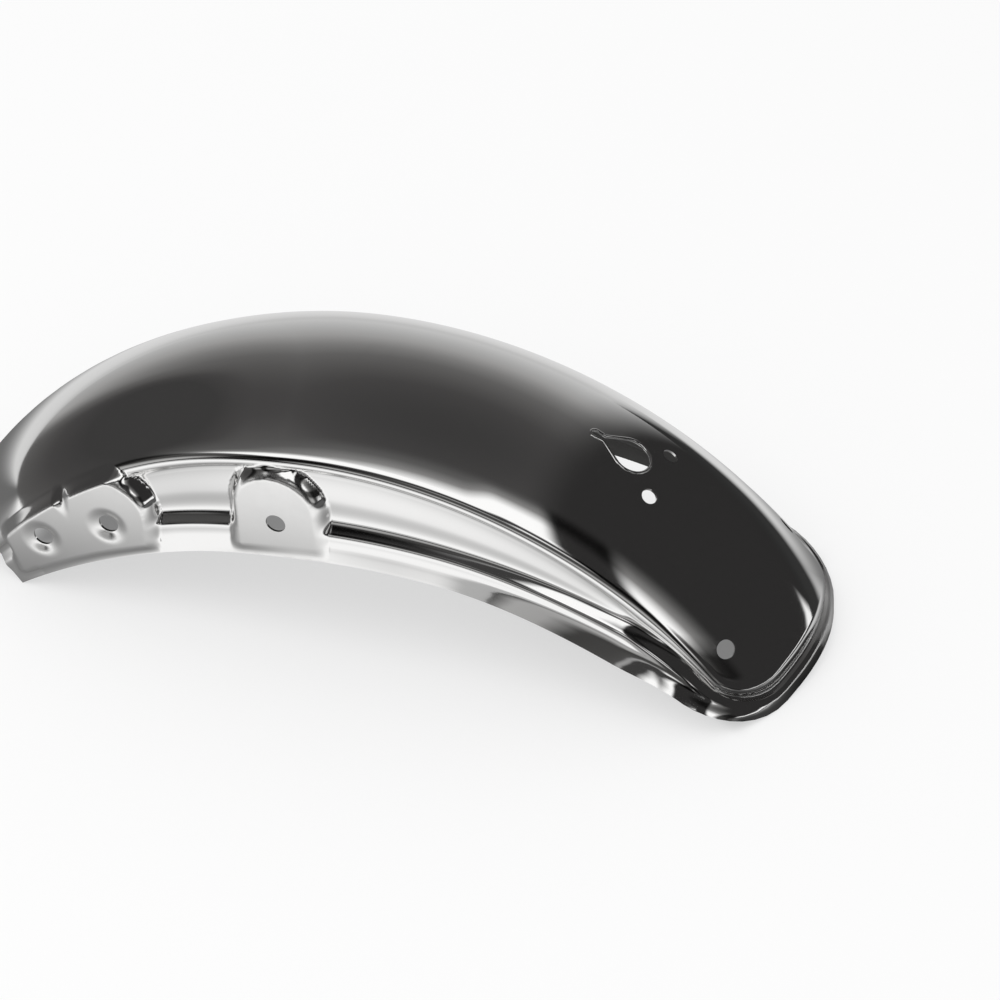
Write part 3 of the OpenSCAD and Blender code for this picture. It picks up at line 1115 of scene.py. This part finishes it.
@dataclass(frozen=True)
class TableTop:
    """The pale table, the painted light and painted shadow that the chrome mirrors of it, and a
    painted shade under the guard.

    A pair of numbers is where a change of tone starts and ends, in metres.
    """

    near: float = -0.62
    back: float = 4.0
    half: float = 3.0
    paint: Colour = (0.93, 0.93, 0.93)
    glow: Colour = (1.0, 1.0, 1.0)
    glow_share: float = 0.6
    mirrored: Colour = (1.25, 1.25, 1.25)
    mirrored_share: float = 0.8
    plain: float = 0.74
    # Painted reflection: what the chrome mirrors of the table is lighter just ahead of the guard
    # and darker far back, to the right ahead, to the right behind and far in front.
    fade_y: Span = (0.25, 1.4)
    fade: float = 0.15
    ahead_y: Span = (0.0, -0.10)
    ahead: float = 0.34
    far_slant: Span = (1.6, 0.12)  # share of x and of y
    far_x: Span = (0.30, 0.46)
    far: float = 0.9
    behind_slant: Trio = (0.6, 0.3, 0.45)  # greatest y, middle and slope
    behind_x: Span = (0.20, 0.36)
    behind: float = 0.95
    # Painted shadow in what the chrome mirrors: darker close round the guard and round its tail.
    painted_shadow_y: Span = (0.06, 0.26)
    painted_shadow_x: Span = (0.26, 0.34)
    clear: float = 0.78
    rear_painted_shade_y: tuple[Span, Span] = ((-0.11, -0.025), (0.032, 0.020))
    rear_painted_shade_x: tuple[Span, Span] = ((0.24, 0.27), (0.36, 0.31))
    rear: float = 0.93
    front_y: Span = (-0.34, -0.43)
    front: float = 0.55
    # Painted shade: a dark diffuse mixed into the table under the guard, which shows through its
    # holes.
    shade_paint: Colour = (0.16, 0.16, 0.16)
    shade_bend: Trio = (0.003, 0.02, 1.25)  # edge, middle and bend
    shade_in: Span = (0.004, 0.030)
    shade_x: Span = (0.26, 0.232)
    shade_y: Span = (0.10, 0.06)
    shade: float = 0.68

    def painted_mirror_light(self, sh: Shader, x: Wire, y: Wire) -> Wire:
        """Works out the painted brightness that the chrome mirrors at each place, with painted
        shadow near the guard and its tail.

        Args:
            sh: the table's node tree.
            x: distance to the rear.
            y: distance across.

        Returns:
            The painted brightness.
        """
        ahead = sh.ease(y, *self.ahead_y)
        along, across = self.far_slant
        far = sh.ease(x * along - y * across, *self.far_x) * ahead
        most, middle, slant = self.behind_slant
        behind = sh.ease(x + (y.low(most) - middle) * slant, *self.behind_x) * (1.0 - ahead)
        # Painted shadow close round the guard and round its tail.
        clear = sh.ease(y.top(0.0 - y), *self.painted_shadow_y).top(sh.ease(x, *self.painted_shadow_x))
        rear = sh.ease(y, *self.rear_painted_shade_y[0]) * sh.ease(y, *self.rear_painted_shade_y[1])
        rear = rear * sh.ease(x, *self.rear_painted_shade_x[0]) * sh.ease(x, *self.rear_painted_shade_x[1])
        bright = self.plain - sh.ease(y, *self.fade_y) * self.fade + ahead * self.ahead
        bright = bright * (1.0 - self.clear + clear * self.clear)
        losses = (
            (far, self.far),
            (behind, self.behind),
            (rear, self.rear),
            (sh.ease(y, *self.front_y), self.front),
        )
        for mask, loss in losses:
            bright = bright * (1.0 - mask * loss)
        return bright

    def shade_share(self, sh: Shader, x: Wire, y: Wire) -> Wire:
        """Works out the painted shade under the guard, which shows through its holes.

        Args:
            sh: the table's node tree.
            x: distance to the rear.
            y: distance across.

        Returns:
            The share of the shade.
        """
        edge, middle, bend = self.shade_bend
        inward = y + edge + (x + middle) * (x + middle) * bend
        ends = sh.ease(x.top(0.0 - x), *self.shade_x) * sh.ease(y, *self.shade_y)
        return sh.ease(inward, *self.shade_in) * ends * self.shade

    def make(self) -> bpy.types.Material:
        """Builds the material.

        Returns:
            The table's material.
        """
        material = bpy.data.materials.new("table_top")
        sh = Shader(material)
        path = sh.add("ShaderNodeLightPath")
        x, y, _ = sh.split(sh.add("ShaderNodeTexCoord").outputs["Object"])
        paint = sh.add("ShaderNodeBsdfDiffuse", {}, {"Color": (*self.paint, 1.0)})
        glow = sh.light("ShaderNodeEmission", self.glow, 1.0)
        seen = Wire(sh.tree, path.outputs["Is Camera Ray"])
        lit = sh.blend(seen * self.glow_share, paint.outputs[0], glow)
        # Painted shade under the guard: a dark diffuse mixed in by the shade share.
        deep = sh.add("ShaderNodeBsdfDiffuse", {}, {"Color": (*self.shade_paint, 1.0)})
        under = sh.blend(self.shade_share(sh, x, y), lit, deep.outputs[0])
        # Painted reflection: for glossy rays the table glows with this painted brightness, painted
        # shadow included, instead of its lit colour.
        bright = self.painted_mirror_light(sh, x, y) * self.mirrored_share
        mirror = sh.light("ShaderNodeEmission", sh.mix(bright, (0.0, 0.0, 0.0), self.mirrored), 1.0)
        surface = sh.blend(path.outputs["Is Glossy Ray"], under, mirror)
        sh.add("ShaderNodeOutputMaterial", {}, {"Surface": surface})
        return material

    def build(self) -> None:
        """Lays the table top under the guard."""
        deselect()
        bpy.ops.mesh.primitive_plane_add(size=1.0, location=(0.0, 0.0, 0.0))
        obj = bpy.context.object
        obj.name = obj.data.name = "table_top"
        sides = (-self.half, self.half)
        corners = [(side, end, 0.0) for end in (self.near, self.back) for side in sides]
        set_place(obj, np.array(corners))
        obj.data.materials.append(self.make())


@dataclass(frozen=True)
class Room:
    """White surroundings, and the dim room and bright window that the chrome shows.

    Each pair of numbers is a direction's start and end of a change of tone.
    """

    dim: Colour = (0.0245, 0.0238, 0.0238)
    strip: Colour = (0.9, 0.9, 0.9)
    white: Colour = (1.0, 1.0, 1.0)
    back_wall: Stops = (
        (0.40, (0.62, 0.62, 0.62)),
        (0.50, (0.51, 0.51, 0.51)),
        (0.585, (0.42, 0.42, 0.42)),
        (0.67, (0.33, 0.328, 0.325)),
        (0.75, (0.20, 0.198, 0.196)),
        (0.82, (0.12, 0.118, 0.117)),
        (0.885, (0.085, 0.083, 0.082)),
        (0.935, (0.058, 0.056, 0.056)),
        (1.0, (0.043, 0.042, 0.042)),
    )
    front_window: Stops = (
        (0.44, (0.05, 0.049, 0.048)),
        (0.475, (0.42, 0.418, 0.415)),
        (0.53, (0.38, 0.378, 0.375)),
        (0.58, (0.05, 0.049, 0.048)),
        (0.67, (0.08, 0.079, 0.078)),
        (0.71, (1.0, 1.0, 1.0)),
        (0.92, (1.0, 1.0, 1.0)),
        (1.0, (0.9, 0.9, 0.9)),
    )
    window_edge: Stops = (
        (0.36, (0.07, 0.069, 0.068)),
        (0.47, (0.10, 0.099, 0.098)),
        (0.55, (0.22, 0.218, 0.216)),
        (0.63, (1.0, 1.0, 1.0)),
        (0.77, (1.0, 1.0, 1.0)),
        (0.82, (0.045, 0.044, 0.044)),
        (0.90, (0.045, 0.044, 0.044)),
        (0.94, (0.9, 0.9, 0.9)),
    )
    corner_x: Span = (-0.62, -0.88)
    corner_y: Span = (0.52, 0.30)
    corner_lift: float = 0.35
    left_x: float = -0.5
    left_lift: float = 0.8
    side_x: Span = (0.60, 0.68)
    side_lift: float = 0.06
    edge_in: Trio = (0.08, 0.20, 0.07)  # start, end and drop
    edge_out: Trio = (0.50, 0.62, 0.04)  # start, end and lift
    right_slant: float = 0.35
    right_x: Span = (-0.04, 0.16)
    strip_z: Span = (0.07, 0.035)
    strip_x: Span = (0.64, 0.72)
    bar_x: tuple[Span, Span] = ((0.34, 0.40), (0.63, 0.56))
    front_y: Span = (-0.34, -0.46)
    mirrored: float = 1.15
    soft_light: float = 0.85

    def walls(self, sh: Shader, x: Wire, y: Wire, z: Wire) -> bpy.types.NodeSocket:
        """Paints the pale back wall and the dim wall on the right.

        Args:
            sh: the world's node tree.
            x: how far the direction points to the rear.
            y: how far it points across.
            z: how far it points up.

        Returns:
            The colour.
        """
        corner = sh.ease(x, *self.corner_x) * sh.ease(y, *self.corner_y)
        level = z + (self.left_x - x).top(0.0) * self.left_lift + corner * self.corner_lift
        back = sh.ramp(self.back_wall, (level + 1.0) * 0.5)
        right = sh.mix(sh.ease(x - z.top(0.0) * self.right_slant, *self.right_x), back, self.dim)
        return sh.mix(sh.ease(z, *self.strip_z) * sh.ease(x, *self.strip_x), right, self.strip)

    def window(self, sh: Shader, x: Wire, y: Wire, z: Wire) -> bpy.types.NodeSocket:
        """Paints the window in front and the dim bar between its panes.

        Args:
            sh: the world's node tree.
            x: how far the direction points to the rear.
            y: how far it points across.
            z: how far it points up.

        Returns:
            The colour.
        """
        level = z + sh.ease(x, *self.side_x) * self.side_lift
        tall = sh.ramp(self.front_window, (level + 1.0) * 0.5)
        bar = sh.ease(x, *self.bar_x[0]) * sh.ease(x, *self.bar_x[1])
        pane = sh.mix(bar, tall, self.dim)
        (low, high, drop), (start, end, lift) = self.edge_in, self.edge_out
        trim = sh.ease(x, low, high) * drop - sh.ease(x, start, end) * lift
        return sh.mix(1.0, pane, sh.ramp(self.window_edge, trim - y), "MULTIPLY")

    def build(self) -> None:
        """Sets the world."""
        world = bpy.data.worlds.new("studio")
        bpy.context.scene.world = world
        sh = Shader(world)
        x, y, z = sh.split(sh.add("ShaderNodeTexCoord").outputs["Generated"])
        path = sh.add("ShaderNodeLightPath")
        walls, window = self.walls(sh, x, y, z), self.window(sh, x, y, z)
        around = sh.mix(sh.ease(y, *self.front_y), walls, window)
        shown = sh.light("ShaderNodeBackground", around, self.mirrored)
        even = sh.light("ShaderNodeBackground", self.white, self.soft_light)
        white = sh.light("ShaderNodeBackground", self.white, 1.0)
        glossy = sh.blend(path.outputs["Is Glossy Ray"], even, shown)
        final = sh.blend(path.outputs["Is Camera Ray"], glossy, white)
        sh.add("ShaderNodeOutputWorld", {}, {"Surface": final})


@dataclass(frozen=True)
class Studio:
    """The table, the room, one soft lamp and the camera."""

    table: TableTop = TableTop()
    room: Room = Room()
    camera_place: Trio = (1.03248, -2.27393, 2.12298)
    camera_turn: Trio = (50.25078, 3.46006, 20.05040)
    lens: float = 186.12
    sensor: float = 36.0
    clip_end: float = 50.0
    lamp_place: Trio = (-0.6, -1.0, 2.6)
    lamp_size: float = 2.0
    lamp_power: float = 18.0

    def lamp(self) -> None:
        """Hangs one soft lamp, which the chrome doesn't show."""
        deselect()
        bpy.ops.object.light_add(type="AREA", location=self.lamp_place)
        lamp = bpy.context.object
        lamp.data.size = self.lamp_size
        lamp.data.energy = self.lamp_power
        lamp.rotation_euler = (-lamp.location).to_track_quat("-Z", "Y").to_euler()
        lamp.visible_glossy = False

    def camera(self) -> None:
        """Stands the camera where the photograph was taken."""
        deselect()
        turn = Euler([math.radians(a) for a in self.camera_turn], "XYZ")
        bpy.ops.object.camera_add(location=self.camera_place, rotation=turn)
        camera = bpy.context.object
        camera.data.lens = self.lens
        camera.data.sensor_width = self.sensor
        camera.data.clip_end = self.clip_end
        bpy.context.scene.camera = camera

    def set_up(self) -> None:
        """Puts the whole studio in place."""
        bpy.context.scene.view_settings.view_transform = "Standard"
        self.table.build()
        self.room.build()
        self.lamp()
        self.camera()
        LOG.info("studio: table, room, lamp and camera")


def main() -> None:
    """Builds and dresses the guard and sets up the studio."""
    logging.basicConfig(level=logging.INFO, format="%(message)s")
    guard = Mudguard().build((ChromeFinish().make(), UndersideFinish().make()))
    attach(guard, "root")
    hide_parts("mudguard")
    LOG.info("guard: %d faces", len(guard.data.polygons))
    Studio().set_up()


if __name__ == "__main__":
    main()
